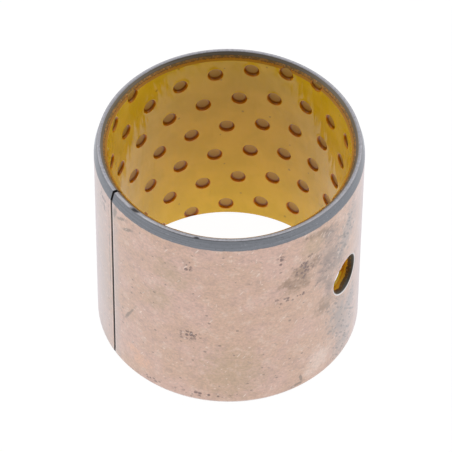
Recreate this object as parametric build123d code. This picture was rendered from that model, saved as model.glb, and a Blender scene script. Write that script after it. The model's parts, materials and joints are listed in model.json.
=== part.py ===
"""Wrapped sliding bush: a strip of steel, sintered bronze and acetal rolled into a sleeve.

The strip is laid out flat first and then rolled, so this file works in the strip's own frame:
the butt seam is at azimuth 0 and a distance along the strip is an angle round the bore.
Each finished layer is turned at the end, which puts the oil hole on +X.

Row frame, in millimetres: the origin is the centre of the lower end, +Z is the axis of the bore.
"""
import os
from math import ceil, cos, degrees, pi, radians, sin, tan

from build123d import *

# Sleeve
bore_diameter = 45.0
wall_thickness = 2.5
sleeve_length = 45.0

# Layers of the strip, from the bore outwards; steel makes up the rest of the wall
acetal_thickness = 0.5
bronze_thickness = 0.3

# Ends: a long shallow lead-in outside at the upper end, a small break outside at the lower end,
# and a 45 degree mouth inside at each
lead_in_length = 2.1
lead_in_angle = 15.0
lower_break_height = 0.8
lower_break_depth = 0.5
upper_mouth = 1.3
lower_mouth = 1.6

# Butt seam: the gap between the strip's two cut ends, and the break along their corners
seam_gap = 0.4
seam_break_width = 0.35
seam_break_depth = 0.2

# Oil hole through the whole wall, turned away from the seam
oil_hole_diameter = 8.0
oil_hole_from_seam = 120.0
oil_hole_deburr = 0.3

# Grease dimples, pressed into the acetal in slanting rows before the strip is rolled
dimple_diameter = 2.9
dimple_sides = 12
dimple_draft = 5.0
acetal_under_dimple = 0.1
dimple_spacing_along = 6.88
dimple_drop_along = 1.44
dimple_row_shift = 4.57
dimple_row_rise = 6.32
first_dimple_from_seam = 4.8
first_dimple_height = 22.9
dimple_seam_margin = 0.4

# Worked out from the above
bore_radius = bore_diameter / 2
bronze_inner_radius = bore_radius + acetal_thickness
steel_inner_radius = bronze_inner_radius + bronze_thickness
outer_radius = bore_radius + wall_thickness
lead_in_depth = lead_in_length * tan(radians(lead_in_angle))
oil_hole_height = sleeve_length / 2
dimple_depth = acetal_thickness - acetal_under_dimple
strip_length = 2 * pi * bore_radius - seam_gap
past_the_wall = wall_thickness


def wall_section():
    """Half section of the whole wall, all layers together, with both ends' chamfers."""
    outline = Polyline(
        (bore_radius, lower_mouth),
        (bore_radius + lower_mouth, 0),
        (outer_radius - lower_break_depth, 0),
        (outer_radius, lower_break_height),
        (outer_radius, sleeve_length - lead_in_length),
        (outer_radius - lead_in_depth, sleeve_length),
        (bore_radius + upper_mouth, sleeve_length),
        (bore_radius, sleeve_length - upper_mouth),
        close=True,
    )
    return Plane.XZ * make_face(outline)


def layer(inner_radius, layer_outer_radius):
    """One layer of the strip, rolled: its share of the wall section, revolved about the bore."""
    width = layer_outer_radius - inner_radius
    band = Rectangle(width, sleeve_length, align=(Align.MIN, Align.MIN))
    section = wall_section() & Plane.XZ * Pos(inner_radius, 0) * band
    return revolve(section, Axis.Z)


def seam_cutter():
    """The gap at the butt seam, seen along the axis, widened where the outer corners are broken."""
    half_gap = seam_gap / 2
    half_mouth = half_gap + seam_break_width
    break_start = outer_radius - seam_break_depth
    flare = half_gap + seam_break_width * (past_the_wall + seam_break_depth) / seam_break_depth
    outline = Polyline(
        (bore_radius - past_the_wall, -half_gap),
        (break_start, -half_gap),
        (outer_radius, -half_mouth),
        (outer_radius + past_the_wall, -flare),
        (outer_radius + past_the_wall, flare),
        (outer_radius, half_mouth),
        (break_start, half_gap),
        (bore_radius - past_the_wall, half_gap),
        close=True,
    )
    return extrude(make_face(outline), sleeve_length)


def outward(azimuth, radius, height):
    """A plane that faces away from the bore's axis, its x axis towards the middle of the sleeve."""
    direction = (cos(radians(azimuth)), sin(radians(azimuth)), 0)
    to_middle = 1 if height < sleeve_length / 2 else -1
    origin = (radius * direction[0], radius * direction[1], height)
    return Plane(origin=origin, x_dir=(0, 0, to_middle), z_dir=direction)


def oil_hole_cutter():
    """The drilled oil hole with the broken edge that deburring leaves on the steel."""
    hole_radius = oil_hole_diameter / 2
    start = outward(oil_hole_from_seam, bore_radius - past_the_wall, oil_hole_height)
    drill = start * Cylinder(
        hole_radius, wall_thickness + 2 * past_the_wall, align=(Align.CENTER, Align.CENTER, Align.MIN)
    )
    # the rim of the hole dips below the top of the round wall, and the deburring follows the rim
    rim_radius = (outer_radius**2 - hole_radius**2) ** 0.5
    seat = outward(oil_hole_from_seam, rim_radius - oil_hole_deburr, oil_hole_height)
    countersink_height = outer_radius + oil_hole_deburr - (rim_radius - oil_hole_deburr)
    countersink = seat * Cone(
        hole_radius,
        hole_radius + countersink_height,
        countersink_height,
        align=(Align.CENTER, Align.CENTER, Align.MIN),
    )
    return [drill, countersink]


def dimple_places():
    """Azimuth and height of each dimple: a slanted lattice on the flat strip, kept off its cut ends."""
    radius = dimple_diameter / 2
    nearest = radius + dimple_seam_margin
    lowest = lower_mouth - radius / 2
    highest = sleeve_length - upper_mouth + radius / 2
    rows = ceil(sleeve_length / dimple_row_rise) + ceil(
        strip_length / dimple_spacing_along * dimple_drop_along / dimple_row_rise
    )
    per_row = ceil((strip_length + rows * dimple_row_shift) / dimple_spacing_along)
    places = []
    for row in range(-rows, rows + 1):
        for step in range(-per_row, per_row + 1):
            along = first_dimple_from_seam + step * dimple_spacing_along + row * dimple_row_shift
            height = first_dimple_height - step * dimple_drop_along + row * dimple_row_rise
            if nearest <= along <= strip_length - nearest and lowest <= height <= highest:
                places.append((degrees((seam_gap / 2 + along) / bore_radius), height))
    return places


def dimple_cutter(azimuth, height):
    """One pressed dimple: a steep-walled pocket with a flat floor, all but round."""
    floor_radius = dimple_diameter / 2 - dimple_depth * tan(radians(dimple_draft))
    floor = outward(azimuth, bore_radius + dimple_depth, height)
    return extrude(
        floor * RegularPolygon(floor_radius, dimple_sides), -2 * dimple_depth, taper=-dimple_draft
    )


def turned(rolled_layer):
    """From the strip's frame to the row's: the oil hole comes to +X."""
    return Rot(0, 0, -oil_hole_from_seam) * rolled_layer


wall_cuts = [seam_cutter()] + oil_hole_cutter()
steel = layer(steel_inner_radius, outer_radius) - wall_cuts
bronze = layer(bronze_inner_radius, steel_inner_radius) - wall_cuts
dimples = [dimple_cutter(azimuth, height) for azimuth, height in dimple_places()]
acetal = layer(bore_radius, bronze_inner_radius) - dimples - wall_cuts

nodes = {"steel_backing": steel, "bronze_interlayer": bronze, "acetal_liner": acetal}
os.makedirs("parts", exist_ok=True)
for name, rolled_layer in nodes.items():
    export_step(turned(rolled_layer), f"parts/{name}.step")
print(len(dimples), "dimples, outer diameter", 2 * outer_radius)
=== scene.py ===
# %% [markdown]
# # A wrapped plain bushing
# This bushing starts as a flat strip of three bonded layers: a steel back with a copper flash outside,
# a thin sintered bronze interlayer, and a yellow acetal liner with dimples that hold grease. The strip
# is cut to length, punched, chamfered and rolled round until its two ends meet in a straight seam.
# The lesson follows the same order: each layer is made flat, in millimetres, and then rolled.
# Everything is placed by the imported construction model, which is loaded first and never moved.

import functools
import json
import math

import bmesh
import bpy
from mathutils import Matrix, Vector


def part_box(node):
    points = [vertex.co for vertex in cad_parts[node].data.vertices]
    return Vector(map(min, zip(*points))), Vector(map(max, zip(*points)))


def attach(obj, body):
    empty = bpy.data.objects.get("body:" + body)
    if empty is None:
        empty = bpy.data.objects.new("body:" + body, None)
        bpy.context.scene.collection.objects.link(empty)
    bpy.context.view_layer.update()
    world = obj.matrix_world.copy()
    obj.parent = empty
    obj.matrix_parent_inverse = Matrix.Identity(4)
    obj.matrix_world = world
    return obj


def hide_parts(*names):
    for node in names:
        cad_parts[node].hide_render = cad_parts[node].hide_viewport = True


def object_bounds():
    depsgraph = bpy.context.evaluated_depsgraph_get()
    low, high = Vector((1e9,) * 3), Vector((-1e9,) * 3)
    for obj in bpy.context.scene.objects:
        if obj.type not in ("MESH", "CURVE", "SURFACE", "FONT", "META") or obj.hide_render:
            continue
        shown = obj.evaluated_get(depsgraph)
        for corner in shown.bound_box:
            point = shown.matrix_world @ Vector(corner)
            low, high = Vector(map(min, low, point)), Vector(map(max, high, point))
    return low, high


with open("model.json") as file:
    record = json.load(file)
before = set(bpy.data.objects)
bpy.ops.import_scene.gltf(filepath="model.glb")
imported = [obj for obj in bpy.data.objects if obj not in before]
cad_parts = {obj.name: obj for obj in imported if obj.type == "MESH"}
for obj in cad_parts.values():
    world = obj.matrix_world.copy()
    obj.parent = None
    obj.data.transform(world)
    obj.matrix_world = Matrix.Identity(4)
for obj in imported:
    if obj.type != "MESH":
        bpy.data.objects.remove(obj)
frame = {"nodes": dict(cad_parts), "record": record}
cad_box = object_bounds()
print("construction nodes:", sorted(frame["nodes"]))

# %% [markdown]
# ## Sizes
# The bore, the outside, the oil hole and the layers are read from the construction model, so this
# scene follows it. What no mount or box states, such as a chamfer, is a named value in millimetres.

# %% Read the main sizes
MM = 0.001
# Two places closer than this, in millimetres, count as one.
SAME = 1e-4

mounts = {mount["name"]: mount for mount in frame["record"]["mounts"]}
bore_radius = mounts["bore"]["dims"]["r_mm"]
outer_radius = mounts["outside"]["dims"]["r_mm"]
hole_radius = mounts["oil_hole"]["dims"]["r_mm"]
hole_height = mounts["oil_hole"]["pos_m"][2] / MM
sleeve_length = round((cad_box[1].z - cad_box[0].z) / MM, 2)

acetal_back = round(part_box("acetal_liner")[1].x / MM, 1) - bore_radius
bronze_back = round(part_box("bronze_interlayer")[1].x / MM, 1) - bore_radius
wall = outer_radius - bore_radius
print("bore radius", bore_radius, "wall", wall, "length", sleeve_length)
print("acetal to", acetal_back, "bronze to", bronze_back, "steel to", wall)

# %% Name the sizes of the edges, the seam and the dimples
seam_gap = 0.4
seam_azimuth = math.radians(-120)
lead_in_length = 2.1
lead_in_angle = 15
lead_in_depth = lead_in_length * math.tan(math.radians(lead_in_angle))
lower_break_height = 0.8
lower_break_depth = 0.5
upper_mouth = 1.3
lower_mouth = 1.6
edge_round = 0.09
seam_edge_round = 0.22
round_segments = 3
hole_deburr = 0.3

dimple_radius = 1.45
dimple_step = Vector((6.88, -1.44))
dimple_row = Vector((4.57, 6.32))
first_dimple = Vector((4.8, 22.9))
dimple_end_margin = 0.4

strip_length = 2 * math.pi * bore_radius - seam_gap
print("flat strip", round(strip_length, 2), "x", sleeve_length, "x", wall, "mm")

# %% [markdown]
# ## The way a flat strip becomes a ring
# While a layer is flat, x runs along the strip from the seam, y across it from the lower end, and z
# through it from the running face outwards. Rolling turns x into an angle and z into a radius. A Simple
# Deform modifier can bend too, but it bends one mesh about one centre, and three layers that have to
# stay in touch are better bent by one formula. Each point also keeps its flat place in an attribute,
# in millimetres, and the finishes use it: a rolling mark then follows the metal round the ring.

# %% Roll a flat place, and find the strip place of the oil hole
PLACE = "strip_mm"


def half_gap_angle(through):
    """Half of the seam, as an angle at this depth, so that its two faces stay parallel."""
    return math.asin(seam_gap / 2 / (bore_radius + through))


def flat_per_radian(through):
    return strip_length / (2 * math.pi - 2 * half_gap_angle(through))


def rolled(place):
    """The point of the ring, in metres, where a flat place goes."""
    azimuth = seam_azimuth + half_gap_angle(place.z) + place.x / flat_per_radian(place.z)
    radius = bore_radius + place.z
    return Vector((radius * math.cos(azimuth), radius * math.sin(azimuth), place.y)) * MM


hole_along = (-seam_azimuth - half_gap_angle(wall / 2)) * flat_per_radian(wall / 2)
print("the oil hole is", round(hole_along, 2), "mm along the strip")

# %% Finish a flat layer: roll it and make it a piece
SMOOTH_BELOW = math.radians(34)


def rolled_piece(name, flat, node):
    """Rolls a flat layer and gives it to the scene in place of its construction node."""
    place = flat.verts.layers.float_vector.new(PLACE)
    for vertex in flat.verts:
        vertex[place] = vertex.co
        vertex.co = rolled(vertex.co)
    bmesh.ops.recalc_face_normals(flat, faces=flat.faces)
    mesh = bpy.data.meshes.new(name)
    flat.to_mesh(mesh)
    flat.free()
    mesh.shade_smooth()
    mesh.set_sharp_from_angle(angle=SMOOTH_BELOW)
    piece = bpy.data.objects.new(name, mesh)
    bpy.context.scene.collection.objects.link(piece)
    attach(piece, "root")
    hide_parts(node)
    print(name, "has", len(mesh.polygons), "faces")
    return piece


# %% [markdown]
# ## The steel and bronze layers
# A metal layer has the same section all along, so its section is drawn once, across the strip, with
# the end chamfers in it, and pulled to the strip's length. It is cut into rows and columns under a
# millimetre wide, because each face stays flat when the strip is rolled. The oil hole could be cut by
# a Boolean. Here a square window is taken out of the grid instead, on both sides, and bridged to rings
# of the hole's own radius: that keeps clean quads round the edge, where a highlight would show a kink.

# %% Draw a section and pull it into a strip
cell_width = 0.75
window_cells = 16
window = cell_width * window_cells / 2
window_margin = 1.1
window_round = hole_radius + window_margin
row_margin = 2.0
ring_weld = 0.001


def section_of(outline, rounded):
    """A section across the strip, from its (height, depth) corners, cut in rows."""
    flat = bmesh.new()
    corners = [flat.verts.new((0, height, depth)) for height, depth in outline]
    flat.faces.new(corners)
    if rounded:
        bmesh.ops.bevel(flat, geom=corners, affect="VERTICES", offset=edge_round,
                        segments=round_segments, profile=0.5, material=-1)
    rows = int((sleeve_length / 2 - row_margin) / cell_width)
    for row in range(-rows, rows + 1):
        bmesh.ops.bisect_plane(flat, geom=flat.verts[:] + flat.edges[:] + flat.faces[:],
                               plane_co=(0, hole_height + row * cell_width, 0), plane_no=(0, 1, 0))
    return flat


def pull(flat, length):
    """Pulls a section along the strip and cuts it into columns, with the window's edges on a column."""
    grown = bmesh.ops.extrude_face_region(flat, geom=flat.faces[:])["geom"]
    ends = [part for part in grown if isinstance(part, bmesh.types.BMVert)]
    bmesh.ops.translate(flat, vec=(length, 0, 0), verts=ends)
    stops = [0, hole_along - window, hole_along + window, length]
    for stop in stops[1:3]:
        bmesh.ops.bisect_plane(flat, geom=flat.verts[:] + flat.edges[:] + flat.faces[:],
                               plane_co=(stop, 0, 0), plane_no=(1, 0, 0))
    for start, stop in zip(stops, stops[1:]):
        middle = (start + stop) / 2
        lengthwise = [edge for edge in flat.edges
                      if min(v.co.x for v in edge.verts) < middle < max(v.co.x for v in edge.verts)]
        columns = round((stop - start) / cell_width)
        bmesh.ops.subdivide_edges(flat, edges=lengthwise, cuts=columns - 1, use_grid_fill=True)


# %% Cut the oil hole through a strip
def squeezed(depth):
    """How much shorter the strip is, while flat, than the ring at this depth."""
    return flat_per_radian(depth) / (bore_radius + depth)


def open_edges(flat, depth):
    """The open edges that lie at one depth."""
    return [edge for edge in flat.edges
            if edge.is_boundary and all(abs(v.co.z - depth) < SAME for v in edge.verts)]


def ring_from(flat, loop, squeeze, radius, depth):
    """Extrudes an open loop and draws its new points onto the round hole at a depth."""
    grown = bmesh.ops.extrude_edge_only(flat, edges=loop)["geom"]
    for vertex in (part for part in grown if isinstance(part, bmesh.types.BMVert)):
        spoke = Vector(((vertex.co.x - hole_along) / squeeze, vertex.co.y - hole_height))
        spoke = spoke.normalized() * radius
        vertex.co = (hole_along + spoke.x * squeezed(depth), hole_height + spoke.y, depth)
    return [part for part in grown if isinstance(part, bmesh.types.BMEdge) and part.is_boundary]


def cut_hole(flat, inner, outer, rings):
    """Opens the window on both sides and draws it in, ring by ring, to the hole's wall."""
    def in_window(face):
        middle = face.calc_center_median()
        level = min(abs(middle.z - inner), abs(middle.z - outer)) < SAME
        return level and abs(middle.x - hole_along) < window and abs(middle.y - hole_height) < window

    gone = [face for face in flat.faces if in_window(face)]
    bmesh.ops.delete(flat, geom=gone, context="FACES")
    inner_loop = open_edges(flat, inner)
    loop = open_edges(flat, outer)
    squeeze = 1.0
    for radius, depth in rings + [(hole_radius, inner)]:
        loop = ring_from(flat, loop, squeeze, radius, depth)
        squeeze = squeezed(depth)
    inner_loop = ring_from(flat, inner_loop, 1.0, window_round, inner)
    ring_from(flat, inner_loop, squeezed(inner), hole_radius, inner)
    bmesh.ops.remove_doubles(flat, verts=flat.verts, dist=ring_weld)


# %% Make the steel back
steel_outline = [
    (lower_mouth - bronze_back, bronze_back),
    (0, lower_mouth),
    (0, wall - lower_break_depth),
    (lower_break_height, wall),
    (sleeve_length - lead_in_length, wall),
    (sleeve_length, wall - lead_in_depth),
    (sleeve_length, upper_mouth),
    (sleeve_length - upper_mouth + bronze_back, bronze_back),
]
deburr_turns = [math.radians(90 / round_segments * step) for step in range(round_segments + 1)]
deburr_rings = [(hole_radius + hole_deburr * (1 - math.sin(turn)),
                 wall - hole_deburr * (1 - math.cos(turn)))
                for turn in deburr_turns]

steel = section_of(steel_outline, rounded=True)
pull(steel, strip_length)
cut_hole(steel, bronze_back, wall, [(window_round, wall)] + deburr_rings)
end_edges = [edge for edge in steel.edges
             if all(abs(v.co.z - wall) < SAME for v in edge.verts)
             and (all(v.co.x < SAME for v in edge.verts)
                  or all(v.co.x > strip_length - SAME for v in edge.verts))]
bmesh.ops.bevel(steel, geom=end_edges, affect="EDGES", offset=seam_edge_round,
                segments=round_segments, profile=0.5, material=-1)
steel_piece = rolled_piece("steel_back", steel, "steel_backing")

# %% Make the bronze interlayer
bronze_outline = [
    (lower_mouth - acetal_back, acetal_back),
    (lower_mouth - bronze_back, bronze_back),
    (sleeve_length - upper_mouth + bronze_back, bronze_back),
    (sleeve_length - upper_mouth + acetal_back, acetal_back),
]
bronze = section_of(bronze_outline, rounded=False)
pull(bronze, strip_length)
cut_hole(bronze, acetal_back, bronze_back, [(window_round, bronze_back), (hole_radius, bronze_back)])
bronze_piece = rolled_piece("bronze_layer", bronze, "bronze_interlayer")

# %% [markdown]
# ## The acetal liner
# The dimples are pressed by a patterned roller, so they stand on a slanting lattice that repeats all
# along the strip. A hundred Boolean cuts would do, but they leave ragged faces round each rim. Instead
# one cell of the lattice is modelled well, a slanted square with a dimple in its middle, and laid side
# by side like tiles. Neighbouring cells share their edge points, so welding them gives one sheet. A
# plain cell fills the places where the roller leaves no dimple.

# %% Model one cell of the lattice
cell_cuts = 10
spoke_cuts = 3
lattice = Matrix(((dimple_step.x, dimple_row.x, 0), (dimple_step.y, dimple_row.y, 0), (0, 0, 1)))

# Each ring of the dimple lies this much further in and this much deeper than the last one, in mm: first
# a low lip that the roller raises, then the wall, then a floor that is a little hollow.
lip_radius = 2.0
dimple_rings = [(0.16, -0.006), (0.13, -0.014), (0.10, -0.008), (0.07, 0.008), (0.05, 0.02),
                (0.04, 0.04), (0.04, 0.08), (0.05, 0.09), (0.07, 0.08), (0.09, 0.05), (0.15, 0.03),
                (0.25, 0.02), (0.35, 0.01)]


def plain_cell():
    """One slanted cell of the lattice, as a grid of faces."""
    cell = bmesh.new()
    bmesh.ops.create_grid(cell, x_segments=cell_cuts, y_segments=cell_cuts, size=0.5)
    bmesh.ops.transform(cell, matrix=lattice.to_4x4(), verts=cell.verts)
    return cell


def dimple_cell():
    """The same cell with its middle taken out and a pressed dimple bridged into it."""
    cell = plain_cell()
    middle = {face for face in cell.faces if not any(v.is_boundary for v in face.verts)}
    opening = [e for e in cell.edges if len({face in middle for face in e.link_faces}) == 2]
    bmesh.ops.delete(cell, geom=list(middle), context="FACES")
    ring = bmesh.ops.create_circle(cell, cap_ends=True, segments=len(opening), radius=lip_radius)["verts"]
    dimple = ring[0].link_faces[0]
    spokes = bmesh.ops.bridge_loops(cell, edges=opening + dimple.edges[:])["edges"]
    bmesh.ops.subdivide_edges(cell, edges=spokes, cuts=spoke_cuts, use_grid_fill=True)
    for inward, deeper in dimple_rings:
        bmesh.ops.inset_region(cell, faces=[dimple], thickness=inward)
        bmesh.ops.translate(cell, vec=(0, 0, deeper), verts=dimple.verts)
    bmesh.ops.poke(cell, faces=[dimple])
    return cell


def as_mesh(name, cell):
    mesh = bpy.data.meshes.new(name)
    cell.to_mesh(mesh)
    cell.free()
    return mesh


cells = {
    "dimple": as_mesh("dimple_cell", dimple_cell()),
    "plain": as_mesh("plain_cell", plain_cell()),
}
for kind, mesh in cells.items():
    print(kind, "cell has", len(mesh.polygons), "faces")

# %% Lay the cells along the strip
# The cells reach this far past the strip on every side, and the trim takes the rest off.
spare = 9.0
lattice_rows = range(-8, 9)
lattice_steps = range(-12, 32)
cell_weld = 0.01
end_limits = (lower_mouth - dimple_radius / 2, sleeve_length - upper_mouth + dimple_radius / 2)


def lattice_point(step, row):
    return first_dimple + step * dimple_step + row * dimple_row


def has_dimple(point):
    """Whether the roller's dimple at this lattice point stays on the strip."""
    clear = dimple_radius + dimple_end_margin
    along = clear <= point.x <= strip_length - clear
    return along and end_limits[0] <= point.y <= end_limits[1]


def laid(flat, mesh, point):
    """Adds a copy of a cell at one lattice point."""
    before = len(flat.verts)
    flat.from_mesh(mesh)
    flat.verts.ensure_lookup_table()
    bmesh.ops.translate(flat, vec=(point.x, point.y, 0), verts=flat.verts[before:])


liner = bmesh.new()
dimples = 0
for row in lattice_rows:
    for step in lattice_steps:
        point = lattice_point(step, row)
        if not (-spare < point.x < strip_length + spare and -spare < point.y < sleeve_length + spare):
            continue
        laid(liner, cells["dimple" if has_dimple(point) else "plain"], point)
        dimples += has_dimple(point)
bmesh.ops.remove_doubles(liner, verts=liner.verts, dist=cell_weld)
print(dimples, "dimples,", len(liner.faces), "faces")

# %% [markdown]
# The sheet is trimmed with four planes. At the seam they stand square to the strip, and at the two
# ends they lean by 45 degrees, which cuts the mouth chamfers too. The open edge is then extruded to
# the back of the liner, and the back is filled and cut into columns that can follow the ring.

# %% Trim the sheet and close it
back_cell_width = 2 * cell_width
trims = [
    ((0, 0, 0), (-1, 0, 0)),
    ((strip_length, 0, 0), (1, 0, 0)),
    ((0, lower_mouth, 0), (0, -1, -1)),
    ((0, sleeve_length - upper_mouth, 0), (0, 1, -1)),
]
for point, outward in trims:
    bmesh.ops.bisect_plane(liner, geom=liner.verts[:] + liner.edges[:] + liner.faces[:],
                           plane_co=point, plane_no=outward, clear_outer=True)

rim = [edge for edge in liner.edges if edge.is_boundary]
grown = bmesh.ops.extrude_edge_only(liner, edges=rim)["geom"]
for vertex in (part for part in grown if isinstance(part, bmesh.types.BMVert)):
    for sign, mouth in ((-1, lower_mouth), (1, sleeve_length - upper_mouth)):
        if abs((vertex.co.y - mouth) * sign - vertex.co.z) < SAME:
            vertex.co.y = mouth + sign * acetal_back
    vertex.co.z = acetal_back
back_rim = [part for part in grown if isinstance(part, bmesh.types.BMEdge) and part.is_boundary]
back_face = bmesh.ops.edgeloop_fill(liner, edges=back_rim)["faces"][0]
back = [back_face, *back_face.edges, *back_face.verts]
for column in range(1, int(strip_length / back_cell_width)):
    back = bmesh.ops.bisect_plane(liner, geom=back, plane_co=(column * back_cell_width, 0, 0),
                                  plane_no=(1, 0, 0))["geom"]
bmesh.ops.recalc_face_normals(liner, faces=liner.faces)
print("closed liner:", len(liner.faces), "faces,", sum(e.is_boundary for e in liner.edges), "open edges")

# %% Drill the oil hole through the liner
pinhole_weld = 0.02


def drilled(flat):
    """The flat liner with the oil hole cut by a Boolean, since the hole crosses the lattice freely."""
    body = bpy.data.objects.new("liner_body", as_mesh("liner_body", flat))
    drill = bmesh.new()
    bmesh.ops.create_cone(drill, cap_ends=True, segments=4 * window_cells, radius1=hole_radius,
                          radius2=hole_radius, depth=4 * acetal_back)
    for vertex in drill.verts:
        across = math.asin(vertex.co.x / (bore_radius + acetal_back / 2))
        vertex.co.x = hole_along + across * flat_per_radian(acetal_back / 2)
        vertex.co.y += hole_height
    tool = bpy.data.objects.new("liner_drill", as_mesh("liner_drill", drill))
    for thing in (body, tool):
        bpy.context.scene.collection.objects.link(thing)
    cut = body.modifiers.new("oil_hole", "BOOLEAN")
    cut.operation = "DIFFERENCE"
    cut.solver = "EXACT"
    cut.object = tool
    depsgraph = bpy.context.evaluated_depsgraph_get()
    result = bmesh.new()
    result.from_mesh(body.evaluated_get(depsgraph).to_mesh())
    pinholes = {vertex for edge in result.edges if edge.is_boundary for vertex in edge.verts}
    bmesh.ops.remove_doubles(result, verts=list(pinholes), dist=pinhole_weld)
    for thing in (body, tool):
        bpy.data.objects.remove(thing)
    return result


liner = drilled(liner)
print("after drilling, open edges:", sum(edge.is_boundary for edge in liner.edges))


# %% Mark where each point lies from its dimple
DIMPLE = "dimple_mm"
rim_slack = 0.01
to_lattice = lattice.to_2x2().inverted()


def mark_dimples(flat):
    """Keeps each point's offset from its lattice point, and whether it lies in a dimple."""
    offset = flat.verts.layers.float_vector.new(DIMPLE)
    for vertex in flat.verts:
        point = vertex.co.to_2d()
        steps = to_lattice @ (point - first_dimple)
        nearest = lattice_point(round(steps.x), round(steps.y))
        pressed = has_dimple(nearest) and (point - nearest).length < lip_radius + rim_slack
        vertex[offset] = (*(point - nearest), float(pressed))


mark_dimples(liner)
liner_piece = rolled_piece("acetal_layer", liner, "acetal_liner")

# %% [markdown]
# ## Helpers for the finishes
# Colours are written as a colour picker gives them, in sRGB, and turned to the linear values that the
# shader wants. One small function adds a node, so that each finish reads as a recipe.

# %% Make helpers for colours and nodes
def linear(hex_colour):
    """The linear colour, with alpha 1, of an sRGB hex value."""
    channels = [int(hex_colour[start:start + 2], 16) / 255 for start in (1, 3, 5)]
    return (*[c / 12.92 if c <= 0.04045 else ((c + 0.055) / 1.055) ** 2.4 for c in channels], 1.0)


def add_node(tree, kind, inputs=(), **settings):
    """Adds a node with its settings, then its values and links, by place or by name of the socket."""
    made = tree.nodes.new("ShaderNode" + kind)
    for name, value in settings.items():
        setattr(made, name, value)
    shown = [socket for socket in made.inputs if socket.enabled]
    pairs = inputs.items() if isinstance(inputs, dict) else enumerate(inputs)
    for key, value in pairs:
        socket = made.inputs[key] if isinstance(key, str) else shown[key]
        if isinstance(value, bpy.types.Node):
            value = next(output for output in value.outputs if output.enabled)
        if isinstance(value, bpy.types.NodeSocket):
            tree.links.new(value, socket)
        else:
            socket.default_value = value
    return made


def new_material(name):
    """An empty material and the function that adds a node to it."""
    material = bpy.data.materials.new(name)
    material.use_nodes = True
    material.node_tree.nodes.clear()
    return material, functools.partial(add_node, material.node_tree)


print("copper as linear:", [round(c, 3) for c in linear("#C8AD9B")])

# %% Patterns that the finishes share
# A pattern's scale is one over the size of its grains in millimetres. A mark reaches through the whole
# wall, so its third size is only a large number, and a fleck's size is a share of its reach. The Map
# Range node's clamp stays off: a smooth step keeps within its ends by itself.
through_all = 1000
smallest_fleck = 0.4
largest_fleck = 1.2


def between(add, value, low, high, at_low=0.0, at_high=1.0):
    """Goes smoothly from one value to another while the measure crosses from low to high."""
    return add("MapRange", [value, low, high, at_low, at_high],
               interpolation_type="SMOOTHSTEP", clamp=False)


def spread(add, value, low, high, at_low, at_high):
    """Stretches a range of values evenly onto another range, and carries on beyond its ends."""
    return add("MapRange", [value, low, high, at_low, at_high], clamp=False)


def stain(add, place, ragged, along, height, half_long, half_high, tilt=0.0, soft=0.5):
    """How much a soft, ragged patch covers a point. Its middle and half sizes are in mm."""
    local = add("Mapping", {"Vector": place, "Location": (along, height, 0),
                            "Rotation": (0, 0, math.radians(tilt)),
                            "Scale": (half_long, half_high, through_all)}, vector_type="TEXTURE")
    distance = add("VectorMath", [local], operation="LENGTH")
    edge = add("Math", [distance.outputs["Value"], ragged], operation="ADD")
    return between(add, edge, 1.0 - soft, 1.0 + soft, 1.0, 0.0)


def flecks(add, place, long, wide, share, reach, tilt=0.0):
    """Small scattered marks, one to a cell of long by wide mm, in a share of the cells."""
    cell = add("Mapping", {"Vector": place, "Rotation": (0, 0, math.radians(tilt)),
                           "Scale": (long, wide, 1)}, vector_type="TEXTURE")
    spots = add("TexVoronoi", {"Vector": cell, "Scale": 1.0}, voronoi_dimensions="2D")
    lot = add("SeparateColor", [spots.outputs["Color"]])
    size = spread(add, lot.outputs["Green"], 0.0, 1.0, reach * smallest_fleck, reach * largest_fleck)
    near = add("Math", [spots.outputs["Distance"], size], operation="DIVIDE")
    chosen = add("Math", [lot.outputs["Red"], share], operation="LESS_THAN")
    return add("Math", [between(add, near, 0.6, 1.0, 1.0, 0.0), chosen], operation="MULTIPLY")


def strongest(add, masks):
    """Joins several masks into one."""
    joined = masks[0]
    for mask in masks[1:]:
        joined = add("Math", [joined, mask], operation="MAXIMUM")
    return joined


def painted(add, colour, coats):
    """Lays coats over a colour. Each coat has its mask, how much it covers, and its own colour."""
    for mask, cover, paint in coats:
        amount = add("Math", [mask, cover], operation="MULTIPLY")
        colour = add("Mix", [amount, colour, linear(paint)], data_type="RGBA")
    return colour


def hole_distance(add):
    """How far a point lies from the oil hole's axis, in mm. The far side of the ring is never near."""
    centred = add("Mapping", {"Vector": add("TexCoord").outputs["Object"],
                              "Location": (outer_radius * MM, 0, hole_height * MM),
                              "Scale": (2 * wall * MM, MM, MM)}, vector_type="TEXTURE")
    return add("VectorMath", [centred], operation="LENGTH").outputs["Value"]


# %% [markdown]
# ## The copper-flashed steel
# The back is mild steel, plated all over with a few microns of copper against rust before the bushing
# is turned to length. The plating is matt and takes every mark of tumbling and storage: clouds of pink
# and beige, fine dark pits, pale scuffs and grey-green stains. The end faces and the chamfers are cut
# afterwards, so they show bare steel. One metal shader does all of it, and the places on the flat strip
# decide where the copper ends.

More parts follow.
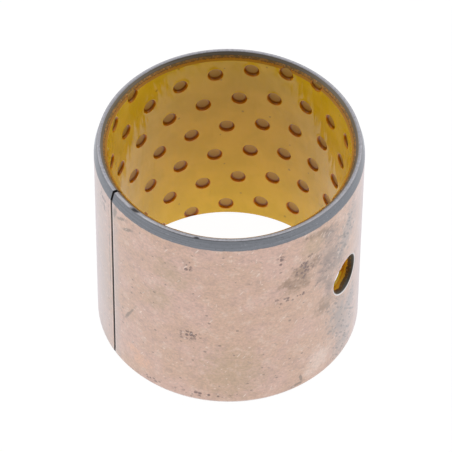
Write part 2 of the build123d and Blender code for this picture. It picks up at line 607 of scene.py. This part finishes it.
# %% Name the marks on the copper
# A mark is the place of its middle along and up the strip, its half sizes, all in mm, and its tilt.
# The renderer holds only so many values for one finish. With about 66 marks the whole steel piece turns
# black, with no error in the usual output, so the marks here and on the end face stay near fifty.
olive_stains = [(35.7, 33.2, 1.5, 2.3, -20), (34.6, 30.5, 2.0, 2.0, 0), (36.5, 30.2, 1.2, 1.5, 0),
                (33.2, 31.6, 1.5, 0.9, 30), (37.9, 34.2, 1.6, 1.3, 0), (41.1, 19.8, 1.9, 1.9, -35),
                (38.8, 41.3, 2.6, 0.7, -10)]
grey_stains = [(42.2, 31.6, 2.6, 4.8, 10), (40.6, 28.4, 1.6, 2.4, 0), (42.0, 24.2, 1.0, 3.0, 0),
               (41.9, 38.4, 1.6, 2.2, 0), (44.4, 29.6, 1.0, 2.0, 20)]
worn_patches = [(45.4, 12.4, 2.7, 5.4, 12), (47.4, 8.0, 2.8, 3.8, 0), (49.0, 13.4, 2.2, 3.2, 0),
                (46.6, 3.6, 2.6, 2.2, 0), (46.8, 34.6, 2.0, 5.0, -20)]
# Pale stripes beside the seam are wear; the wide one past the strip's far end is also a painted sheen of
# the grazing side.
seam_stripes_and_sheen = [(0.9, 22.0, 0.8, 30.0, 0), (strip_length - 4.0, 22.0, 3.6, 30.0, 0)]
dark_smudges = [(0.9, 41.2, 0.5, 1.5, -10), (2.7, 41.0, 1.7, 0.35, 35), (4.2, 39.4, 1.5, 0.3, 35),
                (4.4, 16.5, 0.24, 2.8, -27), (35.5, 1.5, 1.2, 0.4, 10), (36.2, 2.8, 0.25, 1.1, 10),
                (41.3, 40.6, 1.3, 0.25, 35), (45.3, 35.0, 1.0, 0.2, -35), (46.1, 31.5, 0.35, 0.6, 20),
                (49.6, 10.0, 3.2, 0.16, -48), (strip_length - 0.75, 27.0, 0.12, 12.0, 0)]
olive_tints = [(13.4, 33.6, 2.4, 3.4, 30), (11.0, 26.0, 2.0, 3.4, -20), (38.2, 38.6, 2.2, 3.0, 0),
               (24.0, 9.0, 5.0, 6.0, 0)]
pink_patches = [(7.0, 5.4, 1.9, 1.8, 20), (5.2, 7.2, 1.6, 0.9, 0)]
pale_scuffs = [(39.9, 5.2, 2.2, 2.8, -20), (37.6, 3.2, 1.0, 0.7, 0)]
pitted_places = [(34.3, 27.3, 3.4, 0.8, 0), (19.0, 2.2, 3.8, 0.6, 0), (9.4, 1.9, 1.6, 0.5, 0),
                 (16.2, 37.6, 0.9, 1.6, 0), (31.6, 38.6, 0.6, 1.6, 0), (16.6, 18.6, 2.0, 1.2, 0),
                 (36.2, 34.0, 1.6, 2.6, -15), (strip_length - 3.2, 39.6, 1.6, 1.8, 0)]
marks = [*olive_stains, *grey_stains, *worn_patches, *seam_stripes_and_sheen, *dark_smudges, *olive_tints,
         *pink_patches, *pale_scuffs, *pitted_places]
print(len(marks), "marks on the copper")


# %% Finish: copper flash
def copper_flash(add, place, ragged):
    """The colour of the flash, and the grain that its gloss and its bumps share."""
    clouds = add("TexNoise", {"Vector": place, "Scale": 1 / 9.0, "Detail": 4.0, "Roughness": 0.6})
    mottle = add("TexNoise", {"Vector": place, "Scale": 1 / 1.8, "Detail": 4.0, "Roughness": 0.65})
    grain = add("TexNoise", {"Vector": place, "Scale": 1 / 0.5, "Detail": 3.0, "Roughness": 0.7})
    broken = between(add, mottle, 0.36, 0.56, 0.6, 1.0)

    def covered(marks, soft=0.7):
        return strongest(add, [stain(add, place, ragged, *mark, soft=soft) for mark in marks])

    def marked(marks):
        return add("Math", [covered(marks), broken], operation="MULTIPLY")

    def only_in(mask, pattern):
        return add("Math", [mask, pattern], operation="MULTIPLY")

    worn = marked(worn_patches)
    veins = flecks(add, place, 1.8, 0.6, 0.55, 0.42, -48)
    crumbs = flecks(add, place, 0.75, 0.9, 0.75, 0.55)
    pits = add("TexNoise", {"Vector": place, "Scale": 1 / 0.9, "Detail": 4.0, "Roughness": 0.8})
    colour = painted(add, linear("#D0AD97"), [
        (between(add, clouds, 0.40, 0.60), 0.8, "#D5B2A4"),
        (between(add, mottle, 0.50, 0.68), 0.45, "#B4968A"),
        (between(add, mottle, 0.48, 0.32), 0.45, "#E0C8BA"),
        (marked(olive_tints), 0.6, "#BCA182"),
        (marked(olive_stains), 0.9, "#9F816A"),
        (marked(grey_stains), 0.8, "#958177"),
        (worn, 0.75, "#9E9491"),
        (only_in(covered(worn_patches, 0.9), veins), 0.8, "#6E615D"),
        (only_in(marked(grey_stains), veins), 0.45, "#7A6C68"),
        # Pale stripes by the seam: wear, and in part a painted sheen.
        (marked(seam_stripes_and_sheen), 0.6, "#C2B2AC"),
        (marked(pink_patches), 0.8, "#E2B79C"),
        (marked(pale_scuffs), 0.8, "#E6CFC2"),
        (covered(dark_smudges, 0.5), 0.7, "#7D6C60"),
        (only_in(covered(pitted_places, 0.5), crumbs), 0.85, "#6F5450"),
        (between(add, pits, 0.66, 0.72), 0.5, "#86726A"),
        (between(add, pits, 0.33, 0.27), 0.5, "#EBD9CE"),
        (flecks(add, place, 2.4, 2.1, 0.30, 0.12), 0.6, "#7B6860"),
        (flecks(add, place, 1.9, 1.6, 0.30, 0.13), 0.45, "#EEDDD2"),
        (flecks(add, place, 5.0, 0.9, 0.16, 0.13, 58), 0.5, "#F4E6DC"),
        (flecks(add, place, 6.0, 1.1, 0.12, 0.12, 84), 0.4, "#EEDCD0"),
        (flecks(add, place, 4.0, 1.0, 0.10, 0.13, -50), 0.45, "#A08D82"),
    ])
    shade = spread(add, grain, 0.3, 0.7, 0.80, 1.16)
    return add("Mix", [1.0, colour, shade], data_type="RGBA", blend_type="MULTIPLY"), grain


# %% Finish: bare steel
# A mark on the end face is its place along the strip and minus its depth, its half sizes and its tilt.
# The nicks are small notches in the end face, painted near black as their shade.
end_face_nick_shades = [(5.4, -1.5, 0.9, 0.5, 25), (17.6, -1.9, 0.5, 0.35, 0)]
end_face_scuffs = [(2.6, -1.4, 1.3, 0.35, 0), (8.6, -1.7, 1.6, 0.22, 0)]
# How far the normal points along the axis where a chamfer has ended and where the end face begins.
chamfer_facing = 0.80
end_face_facing = 0.94


def bare_steel(add, place, through, lines):
    """The colour of the turned chamfers and the end faces."""
    rough_face = add("TexNoise", {"Vector": place, "Scale": 1 / 0.5, "Detail": 4.0, "Roughness": 0.7})
    flat_face = add("Mapping", {"Vector": place, "Rotation": (math.pi / 2, 0, 0)})
    # Painted shade of the nicks.
    nick_shade = strongest(add, [stain(add, flat_face, 0.0, *nick) for nick in end_face_nick_shades])
    scuffs = strongest(add, [stain(add, flat_face, 0.0, *scuff) for scuff in end_face_scuffs])
    lead_in = painted(add, linear("#7A7D83"), [
        (between(add, lines, 0.35, 0.65), 1.0, "#888B92"),
        (between(add, rough_face, 0.42, 0.34), 0.5, "#62656B"),
        (between(add, rough_face, 0.60, 0.68), 0.35, "#A9ACB2"),
    ])
    inner = painted(add, linear("#7E766A"), [(between(add, lines, 0.35, 0.65), 1.0, "#968D80")])
    end_face = painted(add, linear("#A5A4AA"), [
        (between(add, rough_face, 0.3, 0.7), 1.0, "#BEBDC3"),
        (between(add, rough_face, 0.40, 0.30), 0.7, "#66646A"),
        (between(add, rough_face, 0.60, 0.72), 0.6, "#DAD9DE"),
        (scuffs, 0.35, "#E0DFE4"),
        (nick_shade, 0.9, "#2E2C2E"),
    ])
    outer_side = between(add, through, wall - lead_in_depth - 0.05, wall - lead_in_depth + 0.02)
    steel = add("Mix", [outer_side, inner, lead_in], data_type="RGBA")
    facing_up = add("SeparateXYZ", [add("TexCoord").outputs["Normal"]]).outputs["Z"]
    flat_up = between(add, add("Math", [facing_up], operation="ABSOLUTE"), chamfer_facing,
                      end_face_facing)
    return add("Mix", [flat_up, steel, end_face], data_type="RGBA")


# %% Finish: the steel back, with its flash, its bare edges, its hole and its seam
deburr_edge = hole_radius + hole_deburr
smear_depth = 1.2
scorch_depth = 1.8
smear_raggedness = 0.45
smear_metallic = 0.2
copper_raggedness = 0.12
seam_highlight_middle = 0.32


def copper_flashed_steel():
    material, add = new_material("steel_with_copper_flash")
    place = add("Attribute", attribute_name=PLACE).outputs["Vector"]
    along, height, through = add("SeparateXYZ", [place]).outputs
    wobble = add("TexNoise", {"Vector": place, "Scale": 1 / 1.2, "Detail": 4.0, "Roughness": 0.7})
    ragged = spread(add, wobble, 0.25, 0.75, -0.8, 0.8)
    stretched = add("Mapping", {"Vector": place, "Scale": (1 / 14, 1 / 0.16, 1 / 0.16)})
    lines = add("TexNoise", {"Vector": stretched, "Scale": 1.0, "Detail": 3.0, "Roughness": 0.6})
    from_hole = hole_distance(add)

    # Copper stays on the outside, below the turned lead-in and clear of the hole's edge.
    border = add("Math", [height, add("Math", [ragged, copper_raggedness], operation="MULTIPLY")],
                 operation="ADD")
    copper_end = sleeve_length - lead_in_length
    coppered = between(add, border, copper_end - 0.04, copper_end + 0.08, 1.0, 0.0)
    outside = between(add, through, wall - lower_break_depth - 0.12, wall - lower_break_depth + 0.02)
    clear_of_hole = between(add, from_hole, deburr_edge - 0.04, deburr_edge + 0.04)
    for mask in (outside, clear_of_hole):
        coppered = add("Math", [coppered, mask], operation="MULTIPLY")
    copper, grain = copper_flash(add, place, ragged)
    colour = add("Mix", [coppered, bare_steel(add, place, through, lines), copper], data_type="RGBA")

    # The punch drags acetal and bronze over the hole's wall, and a near-white highlight is painted on the
    # deburred edge.
    in_hole = between(add, from_hole, hole_radius + 0.03, hole_radius + 0.10, 1.0, 0.0)
    round_hole = add("CombineXYZ", [add("Math", [along, height], operation="ADD"), through])
    dragged = add("Math", [through, add("Math", [ragged, smear_raggedness], operation="MULTIPLY")],
                  operation="ADD")
    # A painted highlight: a near-white ring on the deburred edge of the hole.
    deburr_highlight_edges = [between(add, from_hole, hole_radius + 0.04, hole_radius + 0.12),
                 between(add, from_hole, deburr_edge - 0.02, deburr_edge + 0.06, 1.0, 0.0)]
    deburr_highlight = add("Math", deburr_highlight_edges, operation="MULTIPLY")
    smear = between(add, dragged, smear_depth - 0.1, smear_depth + 0.1, 1.0, 0.0)
    scorch = between(add, dragged, scorch_depth - 0.1, scorch_depth + 0.2, 1.0, 0.0)
    glints = flecks(add, round_hole, 0.8, 0.5, 0.5, 0.4)
    in_smear = add("Math", [in_hole, smear], operation="MULTIPLY")
    in_scorch = add("Math", [in_hole, scorch], operation="MULTIPLY")
    hole_coats = [(in_hole, 0.9, "#6A6962"),
                  (in_scorch, 0.8, "#7A6036"),
                  (add("Math", [in_scorch, glints], operation="MULTIPLY"), 0.5, "#C9A27A"),
                  (in_smear, 0.95, "#E6AE06"),
                  (deburr_highlight, 0.9, "#E9E4E2")]

    # The sheared faces of the seam are painted near black, as painted shade in the gap, and a pale
    # highlight is painted on its rolled-over edge.
    from_seam = add("Math", [along, add("Math", [strip_length, along], operation="SUBTRACT")],
                    operation="MINIMUM")
    # A painted highlight along each rolled-over edge of the seam.
    seam_edge_highlight = between(add, add("Math", [add("Math", [from_seam, seam_highlight_middle],
                                              operation="SUBTRACT")],
                                 operation="ABSOLUTE"), 0.05, 0.14, 1.0, 0.0)
    seam_edge_highlight = add("Math", [seam_edge_highlight, coppered], operation="MULTIPLY")
    # Painted shade: the seam's faces, and a sliver of the outside beside them, are painted near black.
    seam = between(add, from_seam, 0.05, 0.14, 1.0, 0.0)
    colour = painted(add, colour, hole_coats + [(seam_edge_highlight, 0.55, "#EADDD6"), (seam, 0.97, "#1D1C1E")])

    inside = between(add, through, wall - lead_in_depth - 0.4, wall - lead_in_depth - 0.3, 1.0, 0.0)
    bare_rough = add("Mix", [strongest(add, [in_hole, seam, inside]), 0.36, 0.58], data_type="FLOAT")
    roughness = add("Mix", [coppered, bare_rough, spread(add, grain, 0.3, 0.7, 0.40, 0.56)],
                    data_type="FLOAT")
    metallic = add("Mix", [in_smear, 1.0, smear_metallic], data_type="FLOAT")
    bumps = add("Mix", [coppered, lines, grain], data_type="FLOAT")
    bump = add("Bump", {"Height": bumps, "Strength": 0.4, "Distance": 0.00003})
    shader = add("BsdfPrincipled", {"Base Color": colour, "Metallic": metallic, "Roughness": roughness,
                                    "Coat Weight": coppered, "Coat Roughness": 0.45, "Coat IOR": 1.7,
                                    "Sheen Weight": 0.9, "Sheen Roughness": 0.3,
                                    "Sheen Tint": linear("#E6E8F4"),
                                    "Normal": bump})
    add("OutputMaterial", {"Surface": shader})
    return material


steel_piece.data.materials.append(copper_flashed_steel())
print("finished", steel_piece.name)

# %% [markdown]
# ## The sintered bronze
# Bronze powder is sintered on the steel as a porous layer, and the acetal is rolled into its pores.
# It shows only as a thin line where a chamfer or the oil hole cuts the wall: dark brown, because the
# pores are full of plastic, with coppery grains in it.

# %% Finish: sintered bronze
def sintered_bronze():
    material, add = new_material("sintered_bronze_powder")
    place = add("Attribute", attribute_name=PLACE).outputs["Vector"]
    grains = add("TexVoronoi", {"Vector": place, "Scale": 1 / 0.2})
    lumps = add("TexNoise", {"Vector": place, "Scale": 1 / 0.5, "Detail": 3.0})
    in_hole = between(add, hole_distance(add), hole_radius + 0.05, hole_radius + 0.15, 1.0, 0.0)
    colour = painted(add, linear("#8F7448"), [
        (between(add, lumps, 0.42, 0.60), 1.0, "#BC8A4A"),
        (between(add, grains.outputs["Color"], 0.80, 0.90), 0.8, "#DDAE82"),
        (in_hole, 0.9, "#DB9C08"),
    ])
    bump = add("Bump", {"Height": grains.outputs["Distance"], "Strength": 0.6, "Distance": 0.00004})
    shader = add("BsdfPrincipled", {"Base Color": colour, "Metallic": 0.7, "Roughness": 0.5,
                                    "Normal": bump})
    add("OutputMaterial", {"Surface": shader})
    return material


bronze_piece.data.materials.append(sintered_bronze())
print("finished", bronze_piece.name)

# %% [markdown]
# ## The acetal liner
# Acetal is a hard, slightly waxy plastic, and the bearing grade is yellow. The roller leaves it with a
# half gloss, so it mirrors the pale ground softly at a low angle and looks deep amber where it mirrors
# itself. The floor of each dimple is thin, so the brown bronze shows through it.

# %% Finish: rolled acetal
# From the rim of a dimple inwards: where each tone is full, where it has faded out, how far its middle
# lies above the dimple's own, and the tone. The outer amber ring is a painted glow of light through the
# plastic, and the dark ring is painted shade, which the lower half of the wall shows more of. The tan
# floor is the bronze showing through.
dimple_light_shade_and_tone = [(1.42, 1.60, -0.10, "#D88600"), (1.30, 1.39, 0.0, "#8C5000"),
                (0.90, 1.22, 0.12, "#B08C40")]


def rolled_acetal():
    material, add = new_material("rolled_yellow_acetal")
    place = add("Attribute", attribute_name=PLACE).outputs["Vector"]
    height, through = add("SeparateXYZ", [place]).outputs[1:]
    offset = add("Attribute", attribute_name=DIMPLE).outputs["Vector"]
    across, up, pressed = add("SeparateXYZ", [offset]).outputs

    clouds = add("TexNoise", {"Vector": place, "Scale": 1 / 6.0, "Detail": 3.0})
    grain = add("TexNoise", {"Vector": place, "Scale": 1 / 0.4, "Detail": 3.0, "Roughness": 0.6})
    drawn = add("Mapping", {"Vector": place, "Scale": (1 / 2.2, 1 / 7.0, 1)})
    waves = add("TexNoise", {"Vector": drawn, "Scale": 1.0, "Detail": 2.0, "Roughness": 0.5})

    # The chamfers at the two mouths are turned, which leaves them matt and brown towards the bronze.
    mid_height = (lower_mouth + sleeve_length - upper_mouth) / 2
    from_middle = add("Math", [add("Math", [height, mid_height], operation="SUBTRACT")],
                      operation="ABSOLUTE")
    turned = between(add, from_middle, mid_height - lower_mouth, mid_height - lower_mouth + 0.08)
    torn = add("Math", [through, spread(add, grain, 0.3, 0.7, -0.12, 0.12)], operation="ADD")
    browned = add("Math", [turned, between(add, torn, 0.34, 0.48)], operation="MULTIPLY")

    coats = [
        (between(add, clouds, 0.35, 0.65), 1.0, "#ECC726"),
        (flecks(add, place, 4.5, 4.5, 0.3, 0.07), 0.45, "#8A5E14"),
        (turned, 0.9, "#C8820A"),
        (browned, 0.9, "#855212"),
    ]
    # Each ring is a coat: first a painted glow, then painted shade, then the floor's own tone.
    for full, none, raised, tone in dimple_light_shade_and_tone:
        from_tone = add("CombineXYZ", [across, add("Math", [up, raised], operation="SUBTRACT")])
        radius = add("VectorMath", [from_tone], operation="LENGTH").outputs["Value"]
        ring = between(add, radius, full, none, 1.0, 0.0)
        coats.append((add("Math", [ring, pressed], operation="MULTIPLY"), 0.96, tone))
    # Painted light: the upper side of each floor is painted lighter, standing in for light from the table
    # below.
    painted_light_upper_floor = add("Math", [coats[-1][0], between(add, up, -0.9, 1.0)], operation="MULTIPLY")
    coats.append((painted_light_upper_floor, 0.75, "#C8A450"))
    colour = painted(add, linear("#E1BE14"), coats)
    fine = add("Bump", {"Height": grain, "Strength": 0.12, "Distance": 0.00003})
    bump = add("Bump", {"Height": waves, "Strength": 1.0, "Distance": 0.0002, "Normal": fine})
    roughness = add("Mix", [strongest(add, [turned, coats[-2][0]]), 0.13, 0.45], data_type="FLOAT")
    shader = add("BsdfPrincipled", {"Base Color": colour, "Roughness": roughness, "IOR": 1.44,
                                    "Normal": bump})
    add("OutputMaterial", {"Surface": shader})
    return material


liner_piece.data.materials.append(rolled_acetal())
print("finished", liner_piece.name)

# %% [markdown]
# ## The studio
# The bushing stands on a white light table inside a white tent. The tent is open where the camera
# stands, and that dark opening is what gives the turned steel its depth: a surface that mirrors the
# tent looks pale, and one that mirrors the opening looks dark. The table glows a little, as a light
# table does, which lights the bore from below. It still takes a faint shadow, because a share of what
# the camera sees is its plain diffuse surface.

# %% Make the light table
table_glow = 0.76
table_whiteness = 0.92
table_half_size = 3.0


def light_table():
    material, add = new_material("white_light_table")
    rays = add("LightPath")
    seen = add("Math", [rays.outputs["Is Camera Ray"], rays.outputs["Is Glossy Ray"]], operation="MAXIMUM")
    seen = add("Math", [seen, rays.outputs["Is Transmission Ray"]], operation="MAXIMUM")
    whiteness = add("Math", [seen, table_whiteness], operation="MULTIPLY")
    surface = add("BsdfDiffuse", {"Color": linear("#E8E8E8")})
    glow = add("Emission", {"Color": (1, 1, 1, 1), "Strength": table_glow})
    lit = add("AddShader", [surface, glow])
    white = add("Emission", {"Color": (1, 1, 1, 1), "Strength": 1.0})
    add("OutputMaterial", {"Surface": add("MixShader", [whiteness, lit, white])})
    return material


table_mesh = bmesh.new()
bmesh.ops.create_grid(table_mesh, x_segments=1, y_segments=1, size=table_half_size)
table = bpy.data.objects.new("table", as_mesh("table", table_mesh))
table.data.materials.append(light_table())
bpy.context.scene.collection.objects.link(table)

# %% Light the studio with a white tent that is open on one side
opening_azimuth = math.radians(-61)
opening_elevation = math.radians(50)
opening_dark = 0.16
opening_half_angle = (28, 72)


def tent():
    world = bpy.data.worlds.new("tent")
    world.use_nodes = True
    world.node_tree.nodes.clear()
    add = functools.partial(add_node, world.node_tree)
    toward = (math.cos(opening_azimuth) * math.cos(opening_elevation),
              math.sin(opening_azimuth) * math.cos(opening_elevation),
              math.sin(opening_elevation))
    direction = add("TexCoord").outputs["Generated"]
    facing = add("VectorMath", [direction, toward], operation="DOT_PRODUCT").outputs["Value"]
    inner, outer = (math.cos(math.radians(angle)) for angle in opening_half_angle)
    light = add("MapRange", [facing, outer, inner, 1.0, opening_dark], interpolation_type="SMOOTHSTEP")
    colour = add("CombineColor", [light, light, light])
    add("OutputWorld", {"Surface": add("Background", {"Color": colour, "Strength": 1.0})})
    return world


bpy.context.scene.world = tent()
bpy.context.scene.view_settings.view_transform = "Standard"
print("the tent is open towards azimuth", round(math.degrees(opening_azimuth)))

# %% [markdown]
# ## The camera
# A long lens from well back keeps the two rims nearly the same size, as a catalogue view has them. The
# camera looks down at about 48 degrees, with the seam on the left and the oil hole on the right.

# %% Place the camera
focal_length = 298.13
camera_distance = 0.704693
camera_elevation = math.radians(47.731)
camera_azimuth = opening_azimuth
aim_right, aim_down, lean = (math.radians(angle) for angle in (0.041, -0.013, -0.553))

lens = bpy.data.cameras.new("camera")
lens.lens = focal_length
camera = bpy.data.objects.new("camera", lens)
stand = Vector((0, -math.cos(camera_elevation), math.sin(camera_elevation))) * camera_distance
stand.z += sleeve_length * MM / 2
camera.matrix_world = (Matrix.Rotation(camera_azimuth + math.pi / 2, 4, "Z")
                       @ Matrix.Translation(stand)
                       @ Matrix.Rotation(math.pi / 2 - camera_elevation, 4, "X")
                       @ Matrix.Rotation(aim_down, 4, "X")
                       @ Matrix.Rotation(aim_right, 4, "Y")
                       @ Matrix.Rotation(-lean, 4, "Z"))
bpy.context.scene.collection.objects.link(camera)
bpy.context.scene.camera = camera
print("camera at", [round(x, 3) for x in camera.location])

# %% Measure the object
print("cad", [tuple(round(x / MM, 2) for x in c) for c in cad_box])
